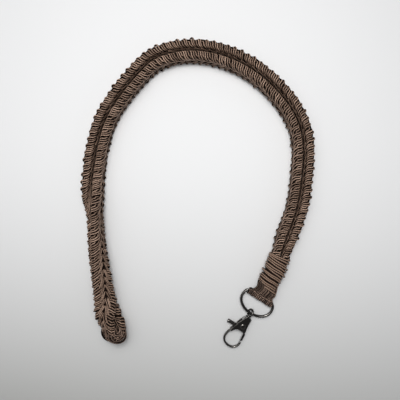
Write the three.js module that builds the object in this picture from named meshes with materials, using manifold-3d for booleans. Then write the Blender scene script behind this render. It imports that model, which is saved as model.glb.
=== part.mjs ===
// Knotted neck lanyard: a folded sennit strap whose two ends are bound by a wrap and looped over
// the bar of a D-ring, which carries a swivelling trigger snap hook.
// Millimetres, +Z up. The lanyard lies on the plane z = 0.
import * as THREE from 'three';
import { mergeVertices } from 'three/addons/utils/BufferGeometryUtils.js';
import Module from 'manifold-3d';

const wasm = await Module();
wasm.setup();

// ---------------------------------------------------------------------------------------------
// Driving dimensions
// ---------------------------------------------------------------------------------------------
const CLEARANCE = 0.3;            // air between separate pieces
const BASE_CENTRE = new THREE.Vector3(-1.57, 3.0, 0);  // middle of the lanyard's footprint, as drawn

// Strap: one sennit about 0.9 m long, folded in half.
const STRAP_WIDTH = 13.4;         // across the flat face, where the strap stands on its edge
const STRAP_THICKNESS = 6.4;      // across the ribbed edge
const RUN_OFFSET = 3.6;           // from the line between the two runs to the middle of each run
const STANDING_HEIGHT = 6.8;      // middle of the strap above the table where it stands on edge
const BOUND_WIDTH = 10.4;         // the strap is squeezed where the wrap binds it
const BOUND_THICKNESS = 5.2;
const BOUND_OFFSET = 2.85;
const BOUND_HEIGHT = 7.1;
const BOUND_LENGTH = 8;           // length of strap inside the wrap
const NARROWING_LENGTH = 14;      // over this length the strap narrows into the wrap
const FILLER_WIDTH_SHARE = 0.5;   // filler cords inside, as shares of the strap's section
const FILLER_THICKNESS_SHARE = 0.46;
const STANDING_STEPS = 40;
const FOLD_STEPS = 7;
const STRAP_STEP = 9.0;           // length of one step of the strap's surface

// Gathering wrap: the diagonal turns of cord around both ends of the strap.
const WRAP_TURNS = 10;
const WRAP_START = new THREE.Vector3(56.3, -38.3, 0);
const WRAP_END = new THREE.Vector3(48.4, -60.2, 0);
const WRAP_CORD_RELIEF = 0.35;    // depth of the groove between two turns
const WRAP_WIDTHS = [[0, 14.2], [3, 15.2], [13, 15.3], [17, 14.2], [20, 13.0], [23.4, 11.8]];
const WRAP_HEIGHTS = [[0, 13.8], [3, 14.2], [13, 14.2], [17, 13.4], [20, 12.2], [23.4, 10.8]];
const WRAP_WALL = 1.1;
const WRAP_SQUARENESS = 2.7;      // 2 would be an ellipse
const BORE_SQUARENESS = 5;

// Hardware lies in one level plane.
const HARDWARE_HEIGHT = 3.1;

// D-ring, in its own axes: bar along x, arc towards +y.
const RING_ORIGIN = new THREE.Vector3(42.9, -69.3, HARDWARE_HEIGHT);
const RING_ANGLE = THREE.MathUtils.degToRad(-32.5);  // of the bar from +X
const RING_WIRE_RADIUS = 1.0;
const RING_HALF_BAR = 10.0;
const RING_HALF_WIDTH = 11.9;
const RING_SHOULDER = 4.6;        // where the ring is widest, from the bar
const RING_DEPTH = 13.2;          // bar to the top of the arc, middle of the wire

// Cord loops over the bar.
const LOOP_COUNT = 8;
const LOOP_PITCH = 2.45;
const LOOP_WIDTH = 2.1;
const LOOP_CORD = 1.35;
const LOOP_LEG = 4.3;             // how far the loops' legs reach back towards the strap

// Snap hook, in its own axes: the swivel axis is y, +y towards the D-ring.
const HOOK_ANGLE = THREE.MathUtils.degToRad(-27.4);  // of the hook's x from +X
const EYE_RADIUS = 2.4;           // middle of the eye's wire
const EYE_WIRE = 0.7;
const EYE_TILT = THREE.MathUtils.degToRad(32);       // of the eye's top towards the gate side
const EYE_RISE = 0.25;            // of the eye's middle past the ring's wire
const STEM_RADIUS = 0.85;
const STEM_HEAD_RADIUS = 1.35;
const NECK_TOP = -3.2;
const NECK_BOTTOM = -4.7;
const HEAD_TOP = -5.05;
const HEAD_BOTTOM = -5.9;
const SHELL_HALF_THICKNESS = 2.6;
const CAVITY_HALF_THICKNESS = 1.65;
const LEVER_HALF_THICKNESS = 1.3;
const PIVOT = new THREE.Vector2(-0.75, -10.5);
const RIVET_RADIUS = 0.8;
const RIVET_HEAD_RADIUS = 1.9;
const RIVET_HEAD_HEIGHT = 0.45;
const THUMB_RADIUS = 1.35;
const THUMB_Y = -11.9;
const THUMB_START = -6.95;
const THUMB_END = -12.1;
const GATE_REACH = 10.5;          // from the pivot to the end of the gate
const TIP_REACH = 10.85;          // from the pivot to the face of the hook's tip
const HOOK_WIRE_WIDTH = 1.55;
const HOOK_WIRE_HEIGHT = 2.3;
const SPRING_WIRE = 0.15;
const SPRING_RADIUS = 1.3;
const SPRING_TURNS = 2;
const SPRING_LOW = 0.55;          // middle of the spring's lowest turn, above the lever's middle

// ---------------------------------------------------------------------------------------------
// The strap's route, chosen by hand
// ---------------------------------------------------------------------------------------------
// Line between the two runs where they stand side by side: from the wrap up the right side, over
// the top and down the left side.
const PAIR_LINE = [
  [54.0, -45.0], [57.3, -35.6], [60.7, -25.6], [65.3, -13.6], [69.0, 0.2],
  [71.2, 17.0], [72.2, 34.2], [70.4, 48.6], [64.4, 62.6], [54.6, 75.4],
  [42.0, 87.2], [24.4, 97.6], [4.0, 103.6], [-16.0, 103.4], [-33.0, 97.4],
  [-46.4, 84.4], [-58.2, 69.4], [-66.0, 56.0], [-71.2, 39.4], [-74.0, 24.0],
];

// Outer run, as it twists down and lies flat under the inner run: x, y, z, lean, width, thickness.
// Lean is 0 on edge, 90 flat, and over 90 where the other edge comes up.
const OUTER_UNDER = [
  [-78.3, 13.5, 6.8, 4, 13.2, 6.2],
  [-78.4, 6.8, 6.6, 12, 12.2, 5.8],
  [-78.1, 1.9, 5.8, 30, 10.2, 5.2],
  [-77.4, -2.3, 4.8, 53, 9.8, 5.0],
  [-75.9, -7.0, 3.9, 75, 10.4, 5.2],
  [-74.6, -14.5, 3.3, 90, 11.6, 5.8],
  [-73.4, -32.0, 3.3, 90, 12.6, 6.2],
  [-71.2, -51.0, 3.3, 90, 13.0, 6.2],
  [-66.8, -71.0, 3.5, 90, 13.8, 6.2],
  [-62.0, -80.0, 5.6, 113, 14.2, 6.0],
  [-57.3, -86.3, 7.1, 137, 14.4, 6.0],
  [-55.9, -91.3, 8.3, 147, 14.6, 6.1],
];

// Inner run over it, from the fold back up to where the two stand side by side.
const INNER_OVER = [
  [-62.4, -91.7, 12.3, 147, 14.6, 6.1],
  [-63.2, -87.4, 12.5, 137, 14.4, 6.0],
  [-64.9, -80.2, 13.4, 113, 14.6, 6.0],
  [-65.2, -69.2, 12.8, 68, 14.8, 6.3],
  [-66.9, -54.6, 14.4, 47, 14.2, 6.4],
  [-68.4, -40.8, 14.8, 29, 13.6, 6.4],
  [-70.2, -26.0, 14.0, 13, 13.2, 6.3],
  [-70.8, -12.0, 13.3, 8, 13.2, 6.1],
  [-71.0, -2.0, 11.9, 6, 13.2, 6.0],
  [-70.9, 4.4, 9.7, 5, 13.2, 6.1],
  [-71.4, 13.5, 7.3, 3, 13.3, 6.3],
];

// ---------------------------------------------------------------------------------------------
// General helpers
// ---------------------------------------------------------------------------------------------
const UP = new THREE.Vector3(0, 0, 1);

function interpolate(pairs, x) {
  if (x <= pairs[0][0]) return pairs[0][1];
  for (let i = 1; i < pairs.length; i += 1) {
    const [x0, y0] = pairs[i - 1];
    const [x1, y1] = pairs[i];
    if (x <= x1) return y0 + (y1 - y0) * (x - x0) / (x1 - x0);
  }
  return pairs[pairs.length - 1][1];
}

// Closed surface through rings of points. With inner rings it is a tube with a bore.
function loft(outerRings, innerRings = null) {
  const points = [];
  const triangles = [];
  const sides = outerRings[0].length;
  const count = outerRings.length;
  const addRings = (rings) => {
    const base = points.length;
    rings.forEach((ring) => ring.forEach((p) => points.push(p)));
    return base;
  };
  const skin = (base, flip) => {
    for (let i = 0; i < count - 1; i += 1) {
      for (let j = 0; j < sides; j += 1) {
        const a = base + i * sides + j;
        const b = base + i * sides + (j + 1) % sides;
        const c = a + sides;
        const d = b + sides;
        if (flip) triangles.push([a, c, b], [b, c, d]);
        else triangles.push([a, b, c], [b, d, c]);
      }
    }
  };
  const outer = addRings(outerRings);
  skin(outer, false);
  if (innerRings) {
    const inner = addRings(innerRings);
    skin(inner, true);
    const last = (count - 1) * sides;
    for (let j = 0; j < sides; j += 1) {
      const k = (j + 1) % sides;
      triangles.push([outer + j, inner + j, outer + k], [outer + k, inner + j, inner + k]);
      triangles.push([outer + last + j, outer + last + k, inner + last + j]);
      triangles.push([outer + last + k, inner + last + k, inner + last + j]);
    }
  } else {
    const last = (count - 1) * sides;
    for (let j = 1; j < sides - 1; j += 1) {
      triangles.push([outer, outer + j + 1, outer + j]);
      triangles.push([outer + last, outer + last + j, outer + last + j + 1]);
    }
  }
  return outwardGeometry(points, triangles);
}

// Geometry whose faces point out, whichever way its rings ran.
function outwardGeometry(points, triangles) {
  let volume = 0;
  triangles.forEach(([a, b, c]) => {
    volume += points[a].dot(new THREE.Vector3().crossVectors(points[b], points[c]));
  });
  const order = volume < 0 ? [0, 2, 1] : [0, 1, 2];
  const geometry = new THREE.BufferGeometry();
  geometry.setAttribute('position', new THREE.Float32BufferAttribute(
    points.flatMap((p) => [p.x, p.y, p.z]), 3));
  geometry.setIndex(triangles.flatMap((t) => order.map((k) => t[k])));
  return geometry;
}

// Rounded rectangle with three points to a corner, counterclockwise.
function roundedSection(width, height) {
  const radius = Math.min(width, height) * 0.42;
  const points = [];
  [[1, 1], [-1, 1], [-1, -1], [1, -1]].forEach(([sx, sy], corner) => {
    for (let k = 0; k < 3; k += 1) {
      const angle = (corner * 90 + k * 45) * Math.PI / 180;
      points.push(new THREE.Vector2(
        sx * (width / 2 - radius) + radius * Math.cos(angle),
        sy * (height / 2 - radius) + radius * Math.sin(angle)));
    }
  });
  return points;
}

function circleSection(radius, sides) {
  return Array.from({ length: sides }, (_, k) => new THREE.Vector2(
    radius * Math.cos(k * 2 * Math.PI / sides), radius * Math.sin(k * 2 * Math.PI / sides)));
}

function placeRing(section, centre, xAxis, yAxis) {
  return section.map((q) => centre.clone().addScaledVector(xAxis, q.x).addScaledVector(yAxis, q.y));
}

// Round or flat bar along a curve that lies in the plane with the given normal.
function sweepInPlane(points, section, normal, closed = false) {
  const rings = points.map((p, i) => {
    const before = points[Math.max(i - 1, 0)];
    const after = points[Math.min(i + 1, points.length - 1)];
    const tangent = closed && (i === 0 || i === points.length - 1)
      ? new THREE.Vector3().subVectors(points[1], points[points.length - 2]).normalize()
      : new THREE.Vector3().subVectors(after, before).normalize();
    const side = new THREE.Vector3().crossVectors(tangent, normal).normalize();
    return placeRing(section, p, side, normal);
  });
  if (!closed) return loft(rings);
  rings.pop();
  return closedLoft(rings);
}

// A loft whose last ring joins its first, for a closed ring of wire.
function closedLoft(rings) {
  const sides = rings[0].length;
  const points = rings.flat();
  const triangles = [];
  rings.forEach((_, i) => {
    const next = (i + 1) % rings.length;
    for (let j = 0; j < sides; j += 1) {
      const a = i * sides + j;
      const b = i * sides + (j + 1) % sides;
      const c = next * sides + j;
      const d = next * sides + (j + 1) % sides;
      triangles.push([a, b, c], [b, d, c]);
    }
  });
  return outwardGeometry(points, triangles);
}

function toSolid(geometry) {
  const bare = geometry.clone();
  bare.deleteAttribute('normal');
  bare.deleteAttribute('uv');
  const merged = mergeVertices(bare, 1e-4);
  return new wasm.Manifold(new wasm.Mesh({
    numProp: 3,
    vertProperties: new Float32Array(merged.attributes.position.array),
    triVerts: new Uint32Array(merged.index.array),
  }));
}

function toGeometry(solid) {
  const mesh = solid.getMesh();
  const geometry = new THREE.BufferGeometry();
  geometry.setAttribute('position', new THREE.Float32BufferAttribute(mesh.vertProperties, 3));
  geometry.setIndex(Array.from(mesh.triVerts));
  return geometry;
}

// Plate of a flat outline between two heights.
function plate(outline, low, high) {
  const geometry = new THREE.ExtrudeGeometry(new THREE.Shape(outline), {
    depth: high - low, bevelEnabled: false, curveSegments: 8,
  });
  return geometry.translate(0, 0, low);
}

// Cylinder between two points.
function rod(from, to, radius, sides = 16) {
  const axis = new THREE.Vector3().subVectors(to, from);
  const geometry = new THREE.CylinderGeometry(radius, radius, axis.length(), sides);
  geometry.applyQuaternion(new THREE.Quaternion().setFromUnitVectors(
    new THREE.Vector3(0, 1, 0), axis.clone().normalize()));
  const middle = from.clone().add(to).multiplyScalar(0.5);
  return geometry.translate(middle.x, middle.y, middle.z);
}

function flatPoint(x, y) {
  return new THREE.Vector3(x, y, 0);
}

// ---------------------------------------------------------------------------------------------
// Strap
// ---------------------------------------------------------------------------------------------
// Stations of one run along the pair line. Side is +1 for the outer run, -1 for the inner run.
function standingStations(side) {
  const line = new THREE.CatmullRomCurve3(
    PAIR_LINE.map(([x, y]) => flatPoint(x, y)), false, 'centripetal');
  const length = line.getLength();
  return Array.from({ length: STANDING_STEPS + 1 }, (_, i) => {
    const t = i / STANDING_STEPS;
    const point = line.getPointAt(t);
    const tangent = line.getTangentAt(t);
    const outward = new THREE.Vector3(tangent.y, -tangent.x, 0);
    const bound = 1 - THREE.MathUtils.clamp((t * length - BOUND_LENGTH) / NARROWING_LENGTH, 0, 1);
    const blend = (free, tight) => free + (tight - free) * bound;
    const offset = side * blend(RUN_OFFSET, BOUND_OFFSET);
    return {
      position: point.addScaledVector(outward, offset)
        .setZ(blend(STANDING_HEIGHT, BOUND_HEIGHT)),
      lean: 0,
      width: blend(STRAP_WIDTH, BOUND_WIDTH),
      thickness: blend(STRAP_THICKNESS, BOUND_THICKNESS),
    };
  });
}

function listedStations(list) {
  return list.map(([x, y, z, lean, width, thickness]) => ({
    position: new THREE.Vector3(x, y, z), lean, width, thickness,
  }));
}

// Direction of the strap's width, from its lower edge to its upper edge.
function widthDirection(tangent, lean, outwardSide) {
  const level = new THREE.Vector3().crossVectors(UP, tangent).normalize();
  const rise = new THREE.Vector3().crossVectors(tangent, level);
  const angle = THREE.MathUtils.degToRad(lean) * outwardSide;
  return rise.multiplyScalar(Math.cos(angle)).addScaledVector(level, Math.sin(angle)).normalize();
}

// Even stations along one run, with the strap's axes at each.
function resampleRun(stations, outwardSide) {
  const curve = new THREE.CatmullRomCurve3(
    stations.map((s) => s.position), false, 'centripetal');
  const marks = stations.map((s, i) => i / (stations.length - 1));
  const steps = Math.round(curve.getLength() / STRAP_STEP);
  const result = [];
  for (let i = 0; i <= steps; i += 1) {
    const t = curve.getUtoTmapping(i / steps);
    const at = (key) => interpolate(marks.map((m, k) => [m, stations[k][key]]), t);
    const tangent = curve.getTangent(t);
    result.push({
      position: curve.getPoint(t),
      tangent,
      across: widthDirection(tangent, at('lean'), outwardSide),
      width: at('width'),
      thickness: at('thickness'),
    });
  }
  return result;
}

// Half circle that joins the end of the outer run to the start of the inner run.
function foldStations(from, to) {
  const centre = from.position.clone().add(to.position).multiplyScalar(0.5);
  const radius = from.position.distanceTo(to.position) / 2;
  const start = new THREE.Vector3().subVectors(from.position, centre).normalize();
  const across = from.across.clone().add(to.across).normalize();
  const forward = new THREE.Vector3().crossVectors(across, start).normalize();
  if (forward.dot(from.tangent) < 0) forward.negate();
  const result = [];
  for (let i = 1; i < FOLD_STEPS; i += 1) {
    const angle = Math.PI * i / FOLD_STEPS;
    const radial = start.clone().multiplyScalar(Math.cos(angle))
      .addScaledVector(forward, Math.sin(angle));
    const along = forward.clone().multiplyScalar(Math.cos(angle))
      .addScaledVector(start, -Math.sin(angle));
    result.push({
      position: centre.clone().addScaledVector(radial, radius),
      tangent: along,
      across: across.clone(),
      width: (from.width + to.width) / 2,
      thickness: (from.thickness + to.thickness) / 2,
    });
  }
  return result;
}

function strapStations() {
  const outer = resampleRun(
    [...standingStations(1), ...listedStations(OUTER_UNDER)], -1);
  const inner = resampleRun(
    [...listedStations(INNER_OVER), ...standingStations(-1).reverse()], 1);
  return [...outer, ...foldStations(outer[outer.length - 1], inner[0]), ...inner];
}

function strapRings(stations, size) {
  return stations.map((s) => {
    const normal = new THREE.Vector3().crossVectors(s.tangent, s.across).normalize();
    return placeRing(roundedSection(...size(s)), s.position, s.across, normal);
  });
}

// Eight-sided section for a flattened bundle of cords.
function boxSection(width, height) {
  const cut = Math.min(width, height) * 0.28;
  const w = width / 2;
  const h = height / 2;
  return [[w, h - cut], [w - cut, h], [cut - w, h], [-w, h - cut],
    [-w, cut - h], [cut - w, -h], [w - cut, -h], [w, cut - h]]
    .map(([x, y]) => new THREE.Vector2(x, y));
}

const fillerSize = (s) => [s.width * FILLER_WIDTH_SHARE, s.thickness * FILLER_THICKNESS_SHARE];

// The knotted cords are a sleeve around the filler cords.
function knottingCords(stations) {
  const outer = strapRings(stations, (s) => [s.width, s.thickness]);
  const bore = strapRings(stations, (s) => fillerSize(s).map((side) => side + 2 * CLEARANCE));
  return loft(outer, bore);
}

function fillerCords(stations) {
  return loft(strapRings(stations, fillerSize));
}

// ---------------------------------------------------------------------------------------------
// Gathering wrap and the cord ends inside it
// ---------------------------------------------------------------------------------------------
const wrapAxis = new THREE.Vector3().subVectors(WRAP_END, WRAP_START);
const WRAP_LENGTH = wrapAxis.length();
wrapAxis.normalize();

// Directions across the wrap: level, towards the outer run, and up.
const wrapLevel = new THREE.Vector3().crossVectors(UP, wrapAxis).normalize();

// Middle of the wrap at a distance from its start. The wrap rests on the table all along.
function wrapCentre(distance) {
  return WRAP_START.clone().addScaledVector(wrapAxis, distance)
    .setZ(interpolate(WRAP_HEIGHTS, distance) / 2 + 0.05);
}

function superellipse(halfWidth, halfHeight, exponent, sides) {
  const signedPower = (value) => Math.sign(value) * Math.abs(value) ** (2 / exponent);
  return Array.from({ length: sides }, (_, k) => {
    const angle = k * 2 * Math.PI / sides;
    return new THREE.Vector2(
      halfWidth * signedPower(Math.cos(angle)), halfHeight * signedPower(Math.sin(angle)));
  });
}

// Sleeve of cord turns, with a bump for each turn and a tapering bore.
function gatheringWrap() {
  const perTurn = 2;
  const steps = WRAP_TURNS * perTurn;
  const rings = (wall, squareness, relieved) => Array.from({ length: steps + 1 }, (_, i) => {
    const distance = WRAP_LENGTH * i / steps;
    const groove = WRAP_CORD_RELIEF * (1 - Math.abs(Math.sin(Math.PI * i / perTurn)));
    const inset = wall + (relieved ? groove : 0);
    const section = superellipse(
      interpolate(WRAP_WIDTHS, distance) / 2 - inset,
      interpolate(WRAP_HEIGHTS, distance) / 2 - inset, squareness, 20);
    return placeRing(section, wrapCentre(distance), wrapLevel, UP);
  });
  return loft(rings(0, WRAP_SQUARENESS, true), rings(WRAP_WALL, BORE_SQUARENESS, false));
}

// Cords of one run on their way from the strap's end, through the wrap, to the loops on the bar.
function runTails(side) {
  const barDirection = new THREE.Vector3(Math.cos(RING_ANGLE), Math.sin(RING_ANGLE), 0);
  const towardStrap = new THREE.Vector3(-barDirection.y, barDirection.x, 0);
  const inWrap = (distance, offset, width, height) => ({
    centre: wrapCentre(distance), across: wrapLevel, offset, width, height,
  });
  const nearBar = (distance, z, offset, width, height) => ({
    centre: RING_ORIGIN.clone().addScaledVector(towardStrap, distance).setZ(z),
    across: barDirection, offset, width, height,
  });
  const rings = [
    inWrap(8.4, 2.7, 4.9, 9.4),
    inWrap(15, 2.6, 4.8, 8.4),
    inWrap(20, 2.4, 4.3, 7.2),
    inWrap(WRAP_LENGTH + 0.5, 2.2, 3.9, 6.2),
    nearBar(6.8, 4.2, 4.0, 7.3, 5.4),
    nearBar(LOOP_LEG + 0.4, 3.5, 4.9, 9.3, 5.0),
  ].map(({ centre, across, offset, width, height }) => placeRing(
    boxSection(width, height), centre.addScaledVector(across, side * offset), across, UP));
  return loft(rings);
}

// One cord hitched over the bar: two legs towards the strap and the turn around the bar.
function barLoop() {
  const radius = RING_WIRE_RADIUS + CLEARANCE + LOOP_CORD / 2;
  const points = [new THREE.Vector3(0, -LOOP_LEG, radius)];
  for (let i = 0; i <= 8; i += 1) {
    const angle = Math.PI / 2 - Math.PI * i / 8;
    points.push(new THREE.Vector3(0, radius * Math.cos(angle), radius * Math.sin(angle)));
  }
  points.push(new THREE.Vector3(0, -LOOP_LEG, -radius));
  const section = boxSection(LOOP_CORD, LOOP_WIDTH);
  return sweepInPlane(points, section, new THREE.Vector3(1, 0, 0));
}

// ---------------------------------------------------------------------------------------------
// D-ring
// ---------------------------------------------------------------------------------------------
function dRing() {
  const points = [];
  for (let i = 0; i <= 4; i += 1) {
    points.push(flatPoint(-RING_HALF_BAR + 2 * RING_HALF_BAR * i / 4, 0));
  }
  const corner = RING_HALF_WIDTH - RING_HALF_BAR;
  for (let i = 1; i <= 4; i += 1) {
    const angle = -Math.PI / 2 + Math.PI / 2 * i / 4;
    points.push(flatPoint(RING_HALF_BAR + corner * Math.cos(angle),
      RING_SHOULDER + RING_SHOULDER * Math.sin(angle)));
  }
  for (let i = 1; i <= 20; i += 1) {
    const angle = Math.PI * i / 20;
    points.push(flatPoint(RING_HALF_WIDTH * Math.cos(angle),
      RING_SHOULDER + (RING_DEPTH - RING_SHOULDER) * Math.sin(angle)));
  }
  for (let i = 1; i <= 4; i += 1) {
    const angle = Math.PI + Math.PI / 2 * i / 4;
    points.push(flatPoint(-RING_HALF_BAR + corner * Math.cos(angle),
      RING_SHOULDER + RING_SHOULDER * Math.sin(angle)));
  }
  return sweepInPlane(points, circleSection(RING_WIRE_RADIUS, 12), UP, true);
}

// ---------------------------------------------------------------------------------------------
// Snap hook
// ---------------------------------------------------------------------------------------------
// Eye around the D-ring's wire, with the stem and peened head that turn in the hook's neck.
function swivelEye() {
  const ring = new THREE.TorusGeometry(EYE_RADIUS, EYE_WIRE, 10, 28);
  ring.rotateY(Math.PI / 2 + EYE_TILT);
  ring.translate(0, EYE_RISE, 0);
  const top = EYE_RISE - EYE_RADIUS;
  const stem = rod(flatPoint(0, top), flatPoint(0, HEAD_BOTTOM), STEM_RADIUS);
  const head = rod(flatPoint(0, HEAD_TOP), flatPoint(0, HEAD_BOTTOM), STEM_HEAD_RADIUS);
  return toGeometry(toSolid(ring).add(toSolid(stem)).add(toSolid(head)));
}

const outline = (pairs) => pairs.map(([x, y]) => new THREE.Vector2(x, y));

// Solid cylinder along z at the pivot.
function pivotRod(radius, low, high, sides = 24) {
  return toSolid(rod(new THREE.Vector3(PIVOT.x, PIVOT.y, low),
    new THREE.Vector3(PIVOT.x, PIVOT.y, high), radius, sides));
}

// Shell, from the neck down the gate side, along the crotch of the hook and up the thumb side.
const SHELL_OUTLINE = outline([
  [-1.4, -3.1], [1.9, -3.1], [2.45, -3.6], [2.4, -7.0], [2.45, -10.5], [2.75, -13.4],
  [2.4, -14.0], [0.4, -14.3], [-1.0, -14.0], [-2.2, -13.9], [-3.4, -14.15], [-4.6, -14.8],
  [-5.7, -15.9], [-6.6, -17.0], [-7.8, -16.4], [-7.2, -14.9], [-6.55, -13.4], [-5.4, -10.6],
  [-4.2, -7.8], [-2.9, -5.4], [-1.9, -3.7],
]);

// Space inside the shell for the lever: open on the thumb side and at the gate's end.
const CAVITY_OUTLINE = outline([
  [-1.75, NECK_BOTTOM], [1.75, NECK_BOTTOM], [1.6, -8.0], [1.6, -12.7], [5.0, -12.7],
  [5.0, -16.0], [-0.6, -16.0], [-1.6, -13.0], [-5.8, -13.0], [-10.0, -13.05], [-10.0, -6.6],
  [-2.9, -6.6],
]);

const LEVER_OUTLINE = outline([
  [-0.9, -9.3], [-7.2, -10.9], [-7.2, -12.7], [-1.2, -12.65], [0.5, -13.6], [1.9, -15.2],
  [2.05, -24], [3.6, -24], [3.6, -15.0], [2.2, -14.0], [1.25, -13.2], [1.0, -10.0],
]);

// Wire of the hook, from the shell round to the tip that meets the gate.
function hookWire() {
  const curve = new THREE.CatmullRomCurve3([
    [-5.7, -13.9], [-6.6, -15.6], [-8.1, -18.4], [-8.8, -21.5], [-8.5, -23.9], [-7.0, -26.0],
    [-4.6, -27.2], [-2.0, -27.4], [0.2, -26.8], [1.9, -25.3], [2.9, -23.2], [3.05, -20.0],
  ].map(([x, y]) => flatPoint(x, y)), false, 'centripetal');
  const section = roundedSection(HOOK_WIRE_WIDTH, HOOK_WIRE_HEIGHT);
  return sweepInPlane(curve.getSpacedPoints(24), section, UP);
}

// One casting: the hollow shell, the neck and the hook.
function hookBody() {
  const shell = toSolid(plate(SHELL_OUTLINE, -SHELL_HALF_THICKNESS, SHELL_HALF_THICKNESS));
  const gateSide = toSolid(plate(
    outline([[0.5, -26], [6, -26], [6, -14], [0.5, -14]]), -3, 3));
  const wire = toSolid(hookWire()).subtract(pivotRod(TIP_REACH, -3, 3, 72).intersect(gateSide));
  const cavity = toSolid(plate(CAVITY_OUTLINE, -CAVITY_HALF_THICKNESS, CAVITY_HALF_THICKNESS));
  const bore = toSolid(rod(flatPoint(0, NECK_TOP + 1), flatPoint(0, NECK_BOTTOM - 1),
    STEM_RADIUS + CLEARANCE));
  const rivetHole = pivotRod(RIVET_RADIUS + CLEARANCE, -4, 4, 16);
  return toGeometry(shell.subtract(cavity).add(wire).subtract(bore).subtract(rivetHole));
}

// Lever that turns on the rivet: thumb stub on one side, gate arm on the other.
function triggerLever() {
  const hub = pivotRod(2.0, -LEVER_HALF_THICKNESS, LEVER_HALF_THICKNESS);
  const arm = toSolid(plate(LEVER_OUTLINE, -LEVER_HALF_THICKNESS, LEVER_HALF_THICKNESS))
    .intersect(pivotRod(GATE_REACH, -2, 2, 72));
  const thumb = toSolid(rod(
    flatPoint(THUMB_START, THUMB_Y), flatPoint(THUMB_END, THUMB_Y), THUMB_RADIUS, 20));
  const springPocket = pivotRod(2.3, 0.25, 2);
  return toGeometry(hub.add(arm).add(thumb)
    .subtract(pivotRod(RIVET_RADIUS + CLEARANCE, -2, 2, 16)).subtract(springPocket));
}

function pivotRivet() {
  const low = -SHELL_HALF_THICKNESS;
  const high = SHELL_HALF_THICKNESS;
  const gap = 0.05;
  const profile = outline([
    [0, low - RIVET_HEAD_HEIGHT], [RIVET_HEAD_RADIUS * 0.7, low - RIVET_HEAD_HEIGHT * 0.8],
    [RIVET_HEAD_RADIUS, low - gap], [RIVET_RADIUS, low - gap],
    [RIVET_RADIUS, high + gap], [RIVET_HEAD_RADIUS, high + gap],
    [RIVET_HEAD_RADIUS * 0.7, high + RIVET_HEAD_HEIGHT * 0.8], [0, high + RIVET_HEAD_HEIGHT],
  ]);
  const geometry = new THREE.LatheGeometry(profile, 20);
  geometry.rotateX(Math.PI / 2);
  geometry.translate(PIVOT.x, PIVOT.y, 0);
  return toGeometry(toSolid(geometry));
}

// Torsion spring around the rivet, with one leg against the shell and one against the lever.
function triggerSpring() {
  const points = [];
  const steps = SPRING_TURNS * 14;
  const pitch = SPRING_WIRE * 2 + 0.04;
  for (let i = 0; i <= steps; i += 1) {
    const angle = Math.PI * 0.75 + SPRING_TURNS * 2 * Math.PI * i / steps;
    points.push(new THREE.Vector3(PIVOT.x + SPRING_RADIUS * Math.cos(angle),
      PIVOT.y + SPRING_RADIUS * Math.sin(angle), SPRING_LOW + pitch * SPRING_TURNS * i / steps));
  }
  const first = points[0];
  points.unshift(new THREE.Vector3(first.x - 1.2, first.y - 0.9, first.z));
  const curve = new THREE.CatmullRomCurve3(points, false, 'centripetal');
  const shape = new THREE.Shape(circleSection(SPRING_WIRE, 6));
  return toGeometry(toSolid(new THREE.ExtrudeGeometry(shape, {
    extrudePath: curve, steps: 44, bevelEnabled: false,
  })));
}

// ---------------------------------------------------------------------------------------------
// Materials and assembly
// ---------------------------------------------------------------------------------------------
const cord = new THREE.MeshStandardMaterial({ color: 0x7a6656, roughness: 0.85, metalness: 0 });
const gunmetal = new THREE.MeshStandardMaterial({ color: 0x2b2b2d, roughness: 0.25, metalness: 1 });
const springSteel = new THREE.MeshStandardMaterial({ color: 0x8c8c90, roughness: 0.35, metalness: 1 });

function addMesh(parent, name, geometry, material) {
  const mesh = new THREE.Mesh(geometry, material);
  mesh.name = name;
  parent.add(mesh);
  return mesh;
}

const lanyard = new THREE.Group();
lanyard.position.copy(BASE_CENTRE).negate();
const stations = strapStations();
addMesh(lanyard, 'knotting_cords', knottingCords(stations), cord);
addMesh(lanyard, 'filler_cords', fillerCords(stations), cord);
addMesh(lanyard, 'gathering_wrap', gatheringWrap(), cord);
addMesh(lanyard, 'outer_run_tails', runTails(1), cord);
addMesh(lanyard, 'inner_run_tails', runTails(-1), cord);

const ringGroup = new THREE.Group();
ringGroup.position.copy(RING_ORIGIN);
ringGroup.rotation.z = RING_ANGLE + Math.PI;
lanyard.add(ringGroup);
for (let i = 0; i < LOOP_COUNT; i += 1) {
  const loop = addMesh(ringGroup, `bar_loop_${i + 1}`, barLoop(), cord);
  loop.position.x = (i - (LOOP_COUNT - 1) / 2) * LOOP_PITCH;
}
addMesh(ringGroup, 'd_ring', dRing(), gunmetal);

const hookGroup = new THREE.Group();
hookGroup.position.copy(new THREE.Vector3(0, RING_DEPTH, 0)
  .applyAxisAngle(UP, RING_ANGLE + Math.PI).add(RING_ORIGIN));
hookGroup.rotation.z = HOOK_ANGLE;
lanyard.add(hookGroup);
addMesh(hookGroup, 'swivel_eye', swivelEye(), gunmetal);
addMesh(hookGroup, 'hook_body', hookBody(), gunmetal);
addMesh(hookGroup, 'trigger_lever', triggerLever(), gunmetal);
addMesh(hookGroup, 'pivot_rivet', pivotRivet(), gunmetal);
addMesh(hookGroup, 'trigger_spring', triggerSpring(), springSteel);

export default lanyard;
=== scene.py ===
"""Knotted neck lanyard with a cord wrap, a D-ring and a swivelling trigger snap hook.

Lengths are drawn in millimetres and turned into metres when a mesh is made. The drawing's
coordinates are those of the CAD part before it is centred on its footprint, BASE_CENTRE.
"""
import math

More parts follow.
